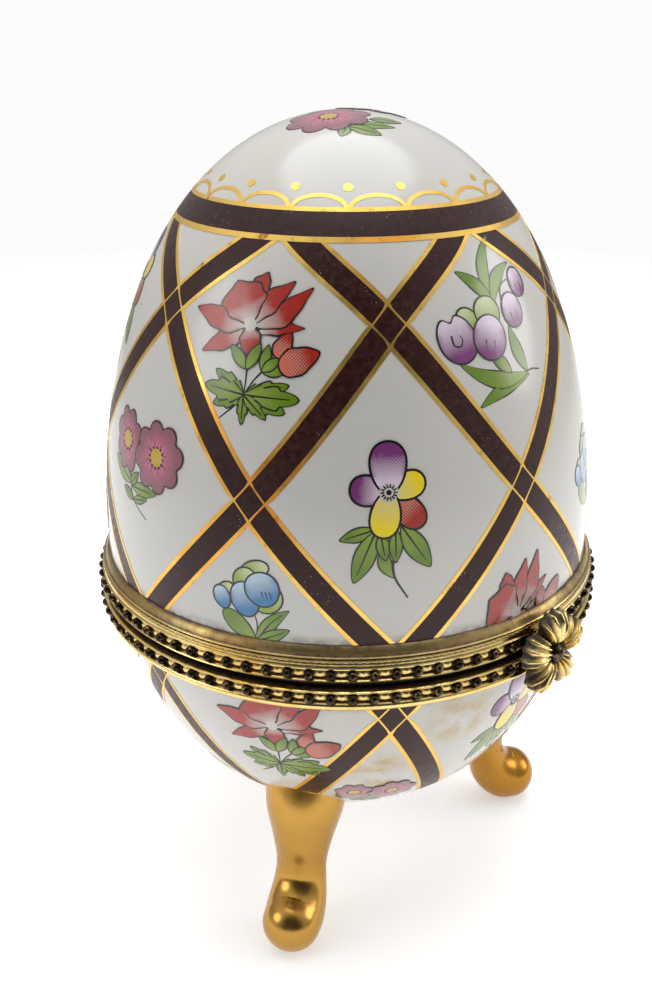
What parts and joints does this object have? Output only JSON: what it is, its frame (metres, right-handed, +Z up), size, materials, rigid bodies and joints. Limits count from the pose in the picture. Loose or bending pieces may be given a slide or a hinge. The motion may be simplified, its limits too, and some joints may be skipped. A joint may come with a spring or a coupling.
{
  "type": "porcelain trinket box",
  "caption": "Egg-shaped porcelain trinket box on gilded feet, with beaded brass bezels, a rear hinge and a sprung flower clasp.",
  "frame": {"origin": "centre of the plane that the three feet stand on, below the egg's axis", "axes": "+Z up along the egg's axis, -Y towards the clasp, +Y towards the hinge, +X to the right as the clasp is faced"},
  "size_m": [0.07, 0.0764, 0.1081],
  "materials": {
    "porcelain": "clear gloss glaze over decals",
    "gilding": "burnished gold lustre over gloss glaze",
    "cement": "set resin cement",
    "brass": "aged, lightly tarnished",
    "beading": "blackened, worn glossy",
    "clasp_brass": "cast, darkened in the hollows"
  },
  "bodies": {
    "base": {"base_shell": "porcelain", "foot_left": "gilding", "foot_right": "gilding", "foot_back": "gilding", "base_cement": "cement", "base_bezel": "brass", "base_beaded_wire": "beading", "base_hinge_leaf": "brass", "hinge_pin": "brass", "catch_stud": "brass"},
    "lid": {"lid_shell": "porcelain", "lid_cement": "cement", "lid_bezel": "brass", "lid_beaded_wire": "beading", "lid_hinge_leaf": "brass"},
    "clasp": {"clasp_tongue": "brass", "clasp_flower": "clasp_brass", "clasp_rivet": "beading"}
  },
  "joints": [
    {"name": "lid_hinge", "type": "hinge", "parent": "base", "child": "lid", "pos_m": [0, 0.03652, 0.0465], "axis": [-1, 0, 0], "range_deg": [0, 65]},
    {"name": "clasp_flex", "type": "hinge", "parent": "lid", "child": "clasp", "pos_m": [0, -0.0342, 0.0499], "axis": [-1, 0, 0], "range_deg": [0, 8], "stiffness_Nm_per_rad": 0.1}
  ]
}
